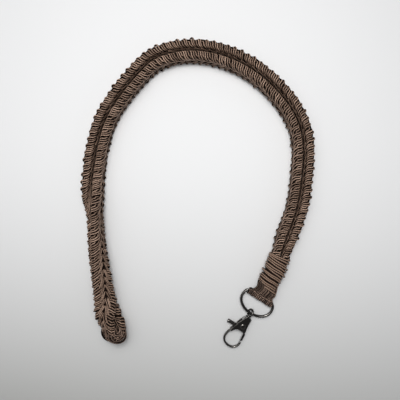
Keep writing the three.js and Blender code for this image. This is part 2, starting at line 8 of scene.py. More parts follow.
import bmesh
import bpy
import numpy as np
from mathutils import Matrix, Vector


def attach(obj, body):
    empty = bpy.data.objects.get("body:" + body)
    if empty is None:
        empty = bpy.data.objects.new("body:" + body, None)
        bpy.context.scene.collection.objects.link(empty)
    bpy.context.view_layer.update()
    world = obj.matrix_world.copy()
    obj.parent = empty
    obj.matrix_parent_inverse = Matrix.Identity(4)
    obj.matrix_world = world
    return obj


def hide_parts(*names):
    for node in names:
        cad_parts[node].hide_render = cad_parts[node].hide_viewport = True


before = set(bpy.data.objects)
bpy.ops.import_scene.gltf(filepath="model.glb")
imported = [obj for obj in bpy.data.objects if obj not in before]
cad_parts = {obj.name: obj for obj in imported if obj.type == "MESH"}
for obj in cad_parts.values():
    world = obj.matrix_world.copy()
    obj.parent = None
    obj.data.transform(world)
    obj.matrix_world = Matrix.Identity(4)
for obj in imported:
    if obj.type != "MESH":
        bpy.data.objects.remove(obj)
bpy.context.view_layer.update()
rng = np.random.default_rng(11)

# ---- Driving dimensions, millimetres ----
BASE_CENTRE = np.array([-1.57, 3.0, 0.0])
UP = np.array([0.0, 0.0, 1.0])

CAMERA_HEIGHT = 270.0
CAMERA_HALF_WIDTH = 144.0  # half of the width seen on the table

# Light
SKY_SIDE = 0.27  # strength of the room's light from the sides
SKY_OVERHEAD = 0.12
SKY_COLOUR = (0.95, 0.97, 1.0, 1)
KEY_POWER = 0.95  # watts
FILL_POWER = 0.72
GLINT_POWER = 0.74  # of the small lamp that makes the highlights on the metal

# Table, metres
TABLE_HALF_SIZE = 1.6
TABLE_PALE = (0.86, 0.86, 0.86, 1)
# Painted shade: the darker table colour stands for the lamps' light falling off towards the near
# left.
TABLE_PAINTED_SHADE = (0.48, 0.48, 0.465, 1)

# Colours of the object. Cord: light, dark, and painted shade for the flanks that face the core and
# the grooves between plies. Shaded cord: the same, darker, as painted shade. Core: dark, light,
# painted shade for the gaps between strands.
# Metal: plain, worn.
CORD_COLOURS = ((0.97, 0.66, 0.49, 1), (0.34, 0.215, 0.15, 1), (0.008, 0.004, 0.0025, 1))
SHADED_COLOURS = ((0.60, 0.40, 0.30, 1), (0.09, 0.057, 0.041, 1), (0.006, 0.003, 0.002, 1))
CORE_SHADE_COLOURS = ((0.008, 0.0045, 0.003, 1), (0.02, 0.012, 0.008, 1))
SHEEN_TINT = (0.9, 0.82, 0.75, 1.0)
GUNMETAL_COLOURS = ((0.072, 0.065, 0.058, 1), (0.2, 0.19, 0.18, 1))
SPRING_COLOURS = ((0.5, 0.5, 0.5, 1), (0.7, 0.7, 0.7, 1))

# Noise in the materials, cells in a metre, and the height of their bumps in metres
PATCH_SCALE = 160.0
FIBRE_SCALE = 2600.0
CORE_FIBRE_SCALE = 1500.0
CLOUD_SCALE = 240.0
SCRATCH_SCALES = (400.0, 3000.0, 3000.0)
CORD_BUMP = 0.00022
CORE_BUMP = 0.0002
METAL_BUMP = 0.00005

# Strap
STRAP_WIDTH = 13.4
STRAP_THICKNESS = 6.4
RUN_OFFSET = 3.6  # from the pair line to the middle of each run
STANDING_HEIGHT = 6.8
BOUND_WIDTH = 10.4  # this and the next three are where the wrap binds the runs
BOUND_THICKNESS = 5.2
BOUND_OFFSET = 2.85
BOUND_HEIGHT = 7.1
BOUND_LENGTH = 8.0
NARROWING_LENGTH = 14.0
PAIR_STEP = 5.0  # between rows of the route beside the pair line
ROUTE_STEP = 0.5
ROUTE_SMOOTHING = 5  # steps to each side

# Core inside the strap, dark as painted shade in the gaps between strands
CORE_STEP = 1.5
CORE_SIDES = 16
CORE_INSET = 1.6  # depth of the gaps between strands
CORE_FACE_INSET = 1.28  # the same on each face

# Cord strands of the strap
STITCH = 4.9  # length of one knot along the strap
REST_GAP = 0.05  # between the table and the lowest strands
STRAND_RADIUS = 0.65
STRAND_SIZES = (0.9, 1.08)  # smallest and largest strand, in STRAND_RADIUS
SIDE_STRANDS = 3  # strands to each side of one knot
SIDE_POINTS = 17
SIDE_PITCH = 1.55  # between strands at the strap's edge
SIDE_FACE_PITCH = 0.82  # share of that pitch in the middle of a face
SIDE_START = 1.7  # where side strands leave the middle of the face
SIDE_SINK = 0.35  # how deep their ends go into the face
SIDE_JITTER = 0.10  # random shift of each strand
EDGE_SLOPE = 1.6  # how far a strand runs along the strap as it crosses the edge
EDGE_LEANS = (0.8, 1.25)  # least and most, in EDGE_SLOPE
FACE_SLOPE = 1.7  # how far it runs along on each face
EDGE_BULGE = (0.75, 0.1, -0.85)  # outline of one knot
FACE_BULGE = 1.3  # share of it that stands out from the outer face
KNOT_LOOSENESS = (0.55, 1.45)  # least and most of the bulge, by knot and side
KNOT_SHIFT = 0.22  # random shift of a knot along the strap
RUN_GAP_INSET = 0.75  # how much flatter the knots are where the runs face each other
CALM_REACH = 6  # length to each side of the fold with hardly any bulge
CALM_FADE = 14  # further length over which the bulge comes back
CALM_BULGE = 0.15

CHAIN_POINTS = 7
CHAIN_STRAND_PLACES = (0.0, 1.0, 2.0)
CHAIN_STRAND_PITCH = 0.8
CHAIN_STRAND_RADIUS = 0.56
CHAIN_SPREAD = 2.4  # from the middle to the outer end of a link
CHAIN_LENGTH = 6.2
CHAIN_DEPTH = 1.0  # of a link's ends under the strap's face
CHAIN_RISE = 0.8  # of a link's middle
CHAIN_JITTER = (0.4, 0.2, 0.14)  # random shift along, across and through the strap

FOLD_STRANDS = 5
FOLD_POINTS = 40
FOLD_PITCH = 1.5
FOLD_REACH = 7.5  # half the length of each strand round the fold
FOLD_DEPTH = 2.3  # how far the outer strands sit behind the middle one
FOLD_DIP = 1.6  # how deep the strands' ends go in
PLIES = 3.0  # plies twisted into one strand
PLY_TURN = 4.2  # radians that the plies turn in one millimetre, times PLIES

# Wrap
WRAP_START = np.array([56.3, -38.3, 0.0])
WRAP_END = np.array([48.4, -60.2, 0.0])
WRAP_WIDTHS = ((0, 14.2), (3, 15.2), (13, 15.3), (17, 15.0), (20, 15.0), (23.4, 15.2))
WRAP_DRIFT = ((0, 0.0), (12, 0.0), (24, -1.5))  # sideways
WRAP_HEIGHTS = ((0, 13.8), (3, 14.2), (13, 14.2), (17, 13.4), (20, 12.2), (23.4, 10.8))
WRAP_SQUARENESS = 2.7
WRAP_CORD_RADIUS = 0.78
WRAP_PITCH = 1.68
WRAP_SLANT = 2.4  # how far the turns lean along the wrap at its sides
WRAP_PAIRED_FROM = 6  # turn at which the pairs begin
WRAP_OVERHANG = 1.8  # length of the wrap past WRAP_END, over the tails
WRAP_TURN_POINTS = 34
WRAP_UPRIGHT = 5  # length over which the turns begin to lean
WRAP_PAIRING = (0.19, 0.3)  # how far paired turns move together, and outwards
WRAP_UNEVENNESS = 0.16  # of the turns along the wrap
WRAP_WOBBLE = 0.4  # of their width
WRAP_TUCK = 2.0  # how deep both ends of the cord are drawn in
WRAP_TUCK_POINTS = 9
WRAP_CORE_INSET = 1.3

# Hardware
HARDWARE_HEIGHT = 3.1
RING_ORIGIN = np.array([42.9, -69.3, HARDWARE_HEIGHT])
RING_ANGLE = math.radians(-32.5)
RING_WIRE_RADIUS = 1.0
RING_HALF_BAR = 10.0
RING_HALF_WIDTH = 11.9
RING_SHOULDER = 4.6
RING_DEPTH = 13.2
LOOP_COUNT = 8
LOOP_PITCH = 2.45

# Tails between wrap and ring, and their loops over the bar
TAILS_LENGTH = 10.6  # from WRAP_END to the bar
TAILS_REACH = 9.0  # part of it where the strands turn away from the middle line
TAILS_RISE = 2.0  # of that line's upper end
# Distance past WRAP_END, width, height and rise of the dark body between the tails.
TAILS_CORE = ((-3, 7.0, 6.0, None), (1.5, 7.6, 5.0, 2.0), (5.5, 9.0, 3.2, 1.1),
              (8.3, 11.0, 2.4, 0.5))
# Distance past WRAP_END, half width and height of the strands.
TAILS_IN_WRAP = ((-4, 5.6, 2.4), (-0.5, 6.9, 3.1))
# Distance from the bar, half width, rise and height of the strands.
TAILS_AT_BAR = ((6.6, 7.2, 1.7, 2.6), (3.6, 7.3, 0.7, 1.45))
TAIL_LAYERS = (-0.35, 0.55)  # extra height of even and odd strands
TAIL_JITTER = 0.25
TAIL_SIDE_SHARE = 0.88  # width of the lower tails against the upper ones
HITCH_RADIUS = 0.6  # of each strand hitched over the bar
HITCH_POINTS = 84
HITCH_BEND = 115  # degrees that a strand goes round the bar to each side
HITCH_GAP = 0.06
HITCH_LOOSENESS = 0.4  # largest random gap between strand and bar
LOOP_JITTER = 0.12  # random shift of strands and loops along the bar
BIGHT_RADIUS = 0.74  # of the cross loops above the bar
BIGHT_POINTS = 30
BIGHT_HALF_WIDTH = 0.78
BIGHT_HEIGHTS = (2.9, 3.8)  # above the bar's wire, in HITCH_RADIUS
BIGHT_BACK = 1.5  # from the bar towards the wrap

HOOK_ANGLE = math.radians(-27.4)
EYE_RADIUS = 2.4
EYE_WIRE = 0.7
EYE_TILT = math.radians(32)  # of its top towards the gate side
EYE_RISE = 0.25
STEM_RADIUS = 0.85
HEAD_RADIUS = 1.35
HEAD_TOP = -5.05
HEAD_BOTTOM = -5.9
SHELL_HALF_THICKNESS = 2.6
CAVITY_HALF_THICKNESS = 1.65
LEVER_HALF_THICKNESS = 1.3
PIVOT = (-0.75, -10.5)
HUB_RADIUS = 2.0
HUB_TOP = 0.25  # the spring lies on it
RIVET_RADIUS = 0.8
RIVET_HEAD_RADIUS = 1.95
RIVET_HEAD_HEIGHT = 0.5
THUMB_RADIUS = 1.35
THUMB_Y = -11.9
THUMB_START = -6.95
THUMB_END = -12.1
HOOK_WIRE_WIDTH = 1.55
HOOK_WIRE_HEIGHT = 2.3

# Line between the two runs of the strap where they stand side by side.
PAIR_LINE = (
    (54.0, -45.0), (57.3, -35.6), (60.7, -25.6), (65.3, -13.6), (69.0, 0.2),
    (71.2, 17.0), (72.2, 34.2), (70.4, 48.6), (64.4, 62.6), (54.6, 75.4),
    (42.0, 87.2), (24.4, 97.6), (4.0, 103.6), (-16.0, 103.4), (-33.0, 97.4),
    (-46.4, 84.4), (-58.2, 69.4), (-66.0, 56.0), (-71.2, 39.4), (-74.0, 24.0),
)
# x, y, z, lean, width, thickness of the outer run where it twists down under the inner run.
OUTER_UNDER = (
    (-78.3, 13.5, 6.8, 4, 13.2, 6.2),
    (-78.4, 6.8, 6.6, 12, 12.2, 5.8),
    (-78.1, 1.9, 5.8, 30, 10.2, 5.2),
    (-77.4, -2.3, 4.8, 53, 9.8, 5.0),
    (-75.9, -7.0, 3.9, 75, 10.4, 5.2),
    (-74.6, -14.5, 3.3, 90, 11.6, 5.8),
    (-73.4, -32.0, 3.3, 90, 12.6, 6.2),
    (-71.2, -51.0, 3.3, 90, 13.0, 6.2),
    (-66.8, -71.0, 3.5, 90, 13.8, 6.2),
    (-62.0, -80.0, 5.6, 113, 14.2, 6.0),
    (-57.3, -86.3, 7.1, 137, 14.4, 6.0),
    (-55.9, -91.3, 8.3, 147, 14.6, 6.1),
)
# The inner run over it, from the fold back up.
INNER_OVER = (
    (-62.4, -91.7, 12.3, 147, 14.6, 6.1),
    (-63.2, -87.4, 12.5, 137, 14.4, 6.0),
    (-64.9, -80.2, 13.4, 113, 14.6, 6.0),
    (-65.2, -69.2, 12.8, 68, 14.8, 6.3),
    (-66.9, -54.6, 14.4, 47, 14.2, 6.4),
    (-68.4, -40.8, 14.8, 29, 13.6, 6.4),
    (-70.2, -26.0, 14.0, 13, 13.2, 6.3),
    (-70.8, -12.0, 13.3, 8, 13.2, 6.1),
    (-71.0, -2.0, 11.9, 6, 13.2, 6.0),
    (-70.9, 4.4, 9.7, 5, 13.2, 6.1),
    (-71.4, 13.5, 7.3, 3, 13.3, 6.3),
)


# ---- Vectors and curves ----
def unit(v):
    return v / np.maximum(np.linalg.norm(v, axis=-1, keepdims=True), 1e-12)


def to_row(points):
    """Points drawn in millimetres, in the row frame in metres."""
    return (np.asarray(points, float) - BASE_CENTRE) * 0.001


def table_value(pairs, x):
    return np.interp(x, [p[0] for p in pairs], [p[1] for p in pairs])


def spline(rows, per_segment=12):
    """Centripetal Catmull-Rom curve through rows, whose first three columns are the position."""
    rows = np.asarray(rows, float)
    rows = np.vstack([2 * rows[0] - rows[1], rows, 2 * rows[-1] - rows[-2]])
    gaps = np.linalg.norm(np.diff(rows[:, :3], axis=0), axis=1) ** 0.5
    knots = np.concatenate([[0.0], np.cumsum(gaps)])
    made = []
    for i in range(1, len(rows) - 2):
        t0, t1, t2, t3 = knots[i - 1:i + 3]
        t = np.linspace(t1, t2, per_segment, endpoint=False)[:, None]
        p0, p1, p2, p3 = rows[i - 1:i + 3]
        a1 = (t1 - t) / (t1 - t0) * p0 + (t - t0) / (t1 - t0) * p1
        a2 = (t2 - t) / (t2 - t1) * p1 + (t - t1) / (t2 - t1) * p2
        a3 = (t3 - t) / (t3 - t2) * p2 + (t - t2) / (t3 - t2) * p3
        b1 = (t2 - t) / (t2 - t0) * a1 + (t - t0) / (t2 - t0) * a2
        b2 = (t3 - t) / (t3 - t1) * a2 + (t - t1) / (t3 - t1) * a3
        made.append((t2 - t) / (t2 - t1) * b1 + (t - t1) / (t2 - t1) * b2)
    made.append(rows[-2][None, :])
    return np.vstack(made)


def arc_lengths(points):
    steps = np.linalg.norm(np.diff(points[:, :3], axis=0), axis=1)
    return np.concatenate([[0.0], np.cumsum(steps)])


def columns_at(x, places, columns):
    """Every column, known at places, at each x."""
    return np.stack([np.interp(x, places, column) for column in columns.T], axis=-1)


def even(rows, step):
    """The same curve with rows at even steps of its length."""
    s = arc_lengths(rows)
    count = max(2, int(round(s[-1] / step)) + 1)
    return columns_at(np.linspace(0, s[-1], count), s, rows)


def smoothed(values, reach):
    """Moving average along the first axis, with the ends kept."""
    kernel = np.hanning(2 * reach + 3)[1:-1]
    kernel /= kernel.sum()
    padded = np.concatenate([
        np.repeat(values[:1], reach, axis=0), values, np.repeat(values[-1:], reach, axis=0)])
    out = np.stack([np.convolve(padded[:, k], kernel, "valid")
                    for k in range(values.shape[1])], axis=1)
    out[0], out[-1] = values[0], values[-1]
    return out


# ---- Meshes ----
def new_piece(mesh, body, material):
    """A smooth object of the mesh that rides its body."""
    mesh.polygons.foreach_set("use_smooth", [True] * len(mesh.polygons))
    mesh.materials.append(material)
    piece = bpy.data.objects.new(mesh.name, mesh)
    bpy.context.scene.collection.objects.link(piece)
    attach(piece, body)
    return piece


def new_object(name, vertices, faces, body, material):
    """A piece in the row frame from vertices in drawn millimetres."""
    mesh = bpy.data.meshes.new(name)
    mesh.from_pydata(to_row(vertices).tolist(), [], faces)
    mesh.update()
    return new_piece(mesh, body, material)


def tubes(name, centres, normals, half_widths, half_heights, sides, material):
    """One mesh of many closed strands of cord. centres and normals are (strands, points, 3).

    Where a strand would go through the table, it is lifted to lie on it.
    """
    strands, count, _ = centres.shape
    centres = centres.copy()
    centres[..., 2] = np.maximum(centres[..., 2], half_heights + REST_GAP)
    tangents = unit(np.gradient(centres, axis=1))
    across = unit(np.cross(tangents, normals))
    outward = np.cross(across, tangents)
    turn = np.arange(sides) * 2 * math.pi / sides
    shape = (strands, count, 1, 1)
    wide = np.broadcast_to(half_widths, (strands, count)).reshape(shape)
    high = np.broadcast_to(half_heights, (strands, count)).reshape(shape)
    ring = (centres[:, :, None, :]
            + wide * np.cos(turn)[None, None, :, None] * across[:, :, None, :]
            + high * np.sin(turn)[None, None, :, None] * outward[:, :, None, :])
    vertices = ring.reshape(-1, 3)

    i, j, k = np.meshgrid(
        np.arange(strands), np.arange(count - 1), np.arange(sides), indexing="ij")
    a = (i * count + j) * sides + k
    b = (i * count + j) * sides + (k + 1) % sides
    quads = np.stack([a, a + sides, b + sides, b], axis=-1).reshape(-1, 4)
    first = np.arange(strands)[:, None] * count * sides + np.arange(sides)[None, :]
    last = first[:, ::-1] + (count - 1) * sides
    faces = quads.tolist() + first.tolist() + last.tolist()
    piece = new_object(name, vertices, faces, "strap", material)
    lay_out(piece.data, strands, count, sides)

    lengths = np.concatenate([
        np.zeros((strands, 1)),
        np.cumsum(np.linalg.norm(np.diff(centres, axis=1), axis=2), axis=1)], axis=1)
    lengths += rng.uniform(0, 10, (strands, 1))
    along = np.repeat(lengths.reshape(-1), sides)
    angle = np.tile(turn, strands * count)
    strand = np.stack([np.cos(angle), np.sin(angle), along], axis=1)
    layer = piece.data.attributes.new("strand", "FLOAT_VECTOR", "POINT")
    layer.data.foreach_set("vector", strand.reshape(-1).astype(np.float32))
    tint = np.repeat(rng.uniform(0, 1, strands), count * sides)
    layer = piece.data.attributes.new("tint", "FLOAT", "POINT")
    layer.data.foreach_set("value", tint.astype(np.float32))
    return piece


def lay_out(mesh, strands, count, sides):
    """Gives each strand its own cell of a square texture."""
    columns = max(1, round(math.sqrt(strands / 3)))
    rows = math.ceil(strands / columns)
    i, j, k = np.meshgrid(
        np.arange(strands), np.arange(count - 1), np.arange(sides), indexing="ij")
    u = np.stack([j, j + 1, j + 1, j], axis=-1) / (count - 1)
    v = np.stack([k, k, k + 1, k + 1], axis=-1) / sides
    cell = np.stack([i, i, i, i], axis=-1)
    margin = 0.08
    corner = np.stack([cell % columns + margin + (1 - 2 * margin) * u,
                       cell // columns + margin + (1 - 2 * margin) * v], axis=-1).reshape(-1, 2)
    ends = np.repeat(np.arange(2 * strands) % strands, sides)
    turn = np.tile(np.arange(sides), 2 * strands) * 2 * math.pi / sides
    at_end = np.repeat([margin / 2, 1 - margin / 2], strands * sides)
    caps = np.stack([ends % columns + at_end + margin / 3 * np.cos(turn),
                     ends // columns + 0.5 + margin / 3 * np.sin(turn)], axis=-1)
    layer = mesh.uv_layers.new(name="OFBake")
    places = np.vstack([corner, caps]) / [columns, rows]
    layer.data.foreach_set("uv", places.reshape(-1).astype(np.float32))


def loft(name, rings, body, material, closed=False):
    """One closed mesh through rings, (rings, points, 3). closed joins the last to the first."""
    count, sides, _ = rings.shape
    faces = []
    for i in range(count if closed else count - 1):
        n = (i + 1) % count
        for j in range(sides):
            k = (j + 1) % sides
            faces.append((i * sides + j, i * sides + k, n * sides + k, n * sides + j))
    if not closed:
        faces.append(tuple(range(sides))[::-1])
        faces.append(tuple((count - 1) * sides + j for j in range(sides)))
    piece = new_object(name, rings.reshape(-1, 3), faces, body, material)
    outward_faces(piece)
    return piece


def outward_faces(piece):
    """Turns every face of the piece outwards."""
    work = bmesh.new()
    work.from_mesh(piece.data)
    bmesh.ops.recalc_face_normals(work, faces=work.faces)
    work.to_mesh(piece.data)
    work.free()


# ---- Materials ----
class Nodes:
    """A material's node tree, with short calls to add and link nodes."""

    def __init__(self, name):
        self.material = bpy.data.materials.new(name)
        self.material.use_nodes = True
        self.tree = self.material.node_tree
        self.tree.nodes.clear()
        self.output = self.tree.nodes.new("ShaderNodeOutputMaterial")
        self.shader = self.tree.nodes.new("ShaderNodeBsdfPrincipled")
        self.tree.links.new(self.shader.outputs[0], self.output.inputs["Surface"])

    def add(self, kind, **values):
        node = self.tree.nodes.new(kind)
        for key, value in values.items():
            setattr(node, key, value)
        return node

    def put(self, socket, value):
        if isinstance(value, bpy.types.NodeSocket):
            self.tree.links.new(value, socket)
        else:
            socket.default_value = value

    def surface(self, **inputs):
        """Sets the shader's inputs, which are named with underscores for spaces."""
        for name, value in inputs.items():
            self.put(self.shader.inputs[name.replace("_", " ")], value)

    def axes(self, vector):
        node = self.add("ShaderNodeSeparateXYZ")
        self.put(node.inputs[0], vector)
        return node.outputs

    def math(self, operation, *values):
        node = self.add("ShaderNodeMath", operation=operation)
        for socket, value in zip(node.inputs, values):
            self.put(socket, value)
        return node.outputs[0]

    def mix(self, factor, a, b):
        node = self.add("ShaderNodeMix", data_type="RGBA")
        self.put(node.inputs[0], factor)
        self.put(node.inputs[6], a)
        self.put(node.inputs[7], b)
        return node.outputs[2]

    def noise(self, vector, scale, detail=3.0):
        node = self.add("ShaderNodeTexNoise")
        self.put(node.inputs["Vector"], vector)
        self.put(node.inputs["Scale"], scale)
        self.put(node.inputs["Detail"], detail)
        return node.outputs[0]

    def spread(self, value, low, high, to_low=0.0, to_high=1.0):
        node = self.add("ShaderNodeMapRange")
        for socket, number in zip(node.inputs, (value, low, high, to_low, to_high)):
            self.put(socket, number)
        return node.outputs[0]

    def bump(self, height, strength, distance):
        node = self.add("ShaderNodeBump")
        self.put(node.inputs["Strength"], strength)
        self.put(node.inputs["Distance"], distance)
        self.put(node.inputs["Height"], height)
        self.put(self.shader.inputs["Normal"], node.outputs[0])


def cord_material(name, light, dark, painted_groove_shade):
    """Twisted cord: plies that turn round the strand, fine fibres, and painted shade on the flanks
    and in the grooves between plies.
    """
    n = Nodes(name)
    strand = n.add("ShaderNodeAttribute", attribute_name="strand").outputs["Vector"]
    tint = n.add("ShaderNodeAttribute", attribute_name="tint").outputs["Fac"]
    side, up, along = n.axes(strand)
    around = n.math("ARCTAN2", up, side)
    ply_turn = n.math("ADD", n.math("MULTIPLY", around, PLIES), n.math("MULTIPLY", along, PLY_TURN))
    ply = n.math("ABSOLUTE", n.math("SINE", n.math("MULTIPLY", ply_turn, 0.5)))
    place = n.add("ShaderNodeTexCoord").outputs["Object"]
    patches = n.noise(place, PATCH_SCALE)
    fibres = n.noise(place, FIBRE_SCALE, 2.0)
    colour = n.mix(tint, dark, light)
    colour = n.mix(n.spread(patches, 0.38, 0.62, 0.0, 0.5), colour, dark)
    colour = n.mix(n.spread(fibres, 0.3, 0.7, 0.0, 0.3), colour, dark)
    # Painted shade: the flanks that face the core, and the grooves between the plies, are mixed
    # towards the shade colour.
    crest = n.spread(up, 0.70, 1.0, 0.0, 1.0)
    colour = n.mix(crest, painted_groove_shade, colour)
    colour = n.mix(n.spread(ply, 0.0, 0.5, 0.7, 0.0), colour, painted_groove_shade)
    n.surface(Base_Color=colour, Roughness=n.spread(fibres, 0.3, 0.7, 0.4, 0.65),
              Specular_IOR_Level=n.spread(up, 0.75, 1.0, 0.03, 0.45),
              Sheen_Weight=0.04, Sheen_Roughness=0.35, Sheen_Tint=SHEEN_TINT)
    height = n.math("ADD", n.math("MULTIPLY", n.spread(ply, 0.0, 0.6), 0.8),
                    n.math("MULTIPLY", fibres, 0.35))
    n.bump(height, 0.6, CORD_BUMP)
    return n.material


def core_material(name, dark, light):
    """Cord seen only in the gaps, dark as their painted shade: dull and a little fibrous."""
    n = Nodes(name)
    place = n.add("ShaderNodeTexCoord").outputs["Object"]
    fibres = n.noise(place, CORE_FIBRE_SCALE)
    n.surface(Base_Color=n.mix(fibres, dark, light), Roughness=0.9, Specular_IOR_Level=0.05)
    n.bump(fibres, 0.5, CORE_BUMP)
    return n.material


def metal_material(name, colour, worn, roughness):
    """Plated metal with faint polishing marks, cloudy plating and edges worn a little lighter."""
    n = Nodes(name)
    place = n.add("ShaderNodeTexCoord").outputs["Object"]
    clouds = n.noise(place, CLOUD_SCALE)
    stretched = n.add("ShaderNodeMapping")
    n.put(stretched.inputs["Vector"], place)
    n.put(stretched.inputs["Scale"], SCRATCH_SCALES)
    scratches = n.noise(stretched.outputs[0], 1.0, 4.0)
    edge = n.spread(n.add("ShaderNodeNewGeometry").outputs["Pointiness"], 0.52, 0.6)
    worn_edge = n.math("MULTIPLY", edge, n.spread(clouds, 0.4, 0.6))
    base = n.mix(worn_edge, colour, worn)
    rough = n.math("ADD", n.spread(clouds, 0.3, 0.7, roughness * 0.7, roughness * 1.3),
                   n.spread(scratches, 0.5, 0.8, 0.0, 0.12))
    n.surface(Base_Color=base, Roughness=rough, Metallic=1.0, Coat_Weight=0.8,
              Coat_Roughness=0.06)
    n.bump(scratches, 0.08, METAL_BUMP)
    return n.material


CORD = cord_material("taupe_cord", *CORD_COLOURS)
SHADED_CORD = cord_material("shaded_taupe_cord", *SHADED_COLOURS)
CORE = core_material("cord_core_painted_shade", *CORE_SHADE_COLOURS)
METAL = metal_material("gunmetal", *GUNMETAL_COLOURS, 0.06)
SPRING = metal_material("spring_steel", *SPRING_COLOURS, 0.3)


# ---- The strap's route ----
def standing_rows(side):
    """x, y, z, lean, width, thickness of one run beside the pair line. side is 1 for outer."""
    line = even(spline(np.hstack([PAIR_LINE, np.zeros((len(PAIR_LINE), 1))])), PAIR_STEP)
    tangent = unit(np.gradient(line, axis=0))
    outward = np.stack([tangent[:, 1], -tangent[:, 0], 0 * tangent[:, 0]], axis=1)
    bound = 1 - np.clip((arc_lengths(line) - BOUND_LENGTH) / NARROWING_LENGTH, 0, 1)

    def between(free, tight):
        return free + (tight - free) * bound

    centre = line + side * between(RUN_OFFSET, BOUND_OFFSET)[:, None] * outward
    centre[:, 2] = between(STANDING_HEIGHT, BOUND_HEIGHT)
    return np.column_stack([centre, 0 * bound, between(STRAP_WIDTH, BOUND_WIDTH),
                            between(STRAP_THICKNESS, BOUND_THICKNESS)])


def run_rows(rows, lean_side):
    """x, y, z, the width's direction, width and thickness, densely along one run."""
    dense = even(spline(rows), ROUTE_STEP)
    tangent = unit(np.gradient(dense[:, :3], axis=0))
    level = unit(np.cross(UP, tangent))
    rise = np.cross(tangent, level)
    lean = np.radians(dense[:, 3:4]) * lean_side
    width_way = np.cos(lean) * rise + np.sin(lean) * level
    return np.column_stack([dense[:, :3], width_way, dense[:, 4:6]])


def fold_rows(before, after):
    """Half circle from the end of the outer run to the start of the inner run."""
    centre = (before[-1, :3] + after[0, :3]) / 2
    radius = np.linalg.norm(before[-1, :3] - after[0, :3]) / 2
    start = unit(before[-1, :3] - centre)
    width_way = unit(before[-1, 3:6] + after[0, 3:6])
    forward = unit(np.cross(width_way, start))
    if forward @ (before[-1, :3] - before[-2, :3]) < 0:
        forward = -forward
    angle = np.linspace(0, math.pi, 26)[1:-1, None]
    points = centre + radius * (np.cos(angle) * start + np.sin(angle) * forward)
    rest = np.concatenate([width_way, (before[-1, 6:8] + after[0, 6:8]) / 2])
    return np.column_stack([points, np.tile(rest, (len(points), 1))])


def strap_rows():
    """Rows of the whole strap from end to end, and the length along it to its fold."""
    outer = run_rows(np.vstack([standing_rows(1)[:-1], OUTER_UNDER]), -1)
    inner = run_rows(np.vstack([INNER_OVER, standing_rows(-1)[::-1][1:]]), 1)
    fold = arc_lengths(outer)[-1] + math.pi / 4 * np.linalg.norm(outer[-1, :3] - inner[0, :3])
    rows = even(np.vstack([outer, fold_rows(outer, inner), inner]), ROUTE_STEP)
    return smoothed(rows, ROUTE_SMOOTHING), fold


class Route:
    """The strap's middle line and section axes, by length along it."""

    def __init__(self, rows):
        self.points = rows[:, :3]
        self.at = arc_lengths(rows)
        self.length = self.at[-1]
        tangent = unit(np.gradient(self.points, axis=0))
        across = rows[:, 3:6] - np.sum(rows[:, 3:6] * tangent, axis=1, keepdims=True) * tangent
        self.across = unit(across)
        self.normal = unit(np.cross(tangent, self.across))
        self.sizes = rows[:, 6:8]

    def take(self, values, s):
        return columns_at(s, self.at, values)

    def place(self, s, a, b):
        """Point at length s, a across the width and b through the thickness."""
        return (self.take(self.points, s) + a[..., None] * self.take(self.across, s)
                + b[..., None] * self.take(self.normal, s))

    def direction(self, s, a, b):
        return unit(a[..., None] * self.take(self.across, s)
                    + b[..., None] * self.take(self.normal, s))


def signed_power(value, power):
    return np.sign(value) * np.abs(value) ** power


def rounded_ring(width, thickness, squareness, sides):
    """Both coordinates of a superellipse's points. A squareness of 2 makes an ellipse."""
    turn = np.arange(sides) * 2 * math.pi / sides
    return (width / 2 * signed_power(np.cos(turn), 2 / squareness),
            thickness / 2 * signed_power(np.sin(turn), 2 / squareness))


# ---- Strap pieces ----
def strap_core(route):
    """Dark body between the strap's strands, from end to end: painted shade in the gaps."""
    stations = np.linspace(0, route.length, int(route.length / CORE_STEP))
    sizes = route.take(route.sizes, stations)
    rings = []
    for s, (width, thickness) in zip(stations, sizes):
        a, b = rounded_ring(width - 2 * CORE_INSET, thickness - 2 * CORE_FACE_INSET, 3.2,
                            CORE_SIDES)
        rings.append(route.place(np.full(CORE_SIDES, s), a, b))
    return loft("strap_core", np.array(rings), "strap", CORE)


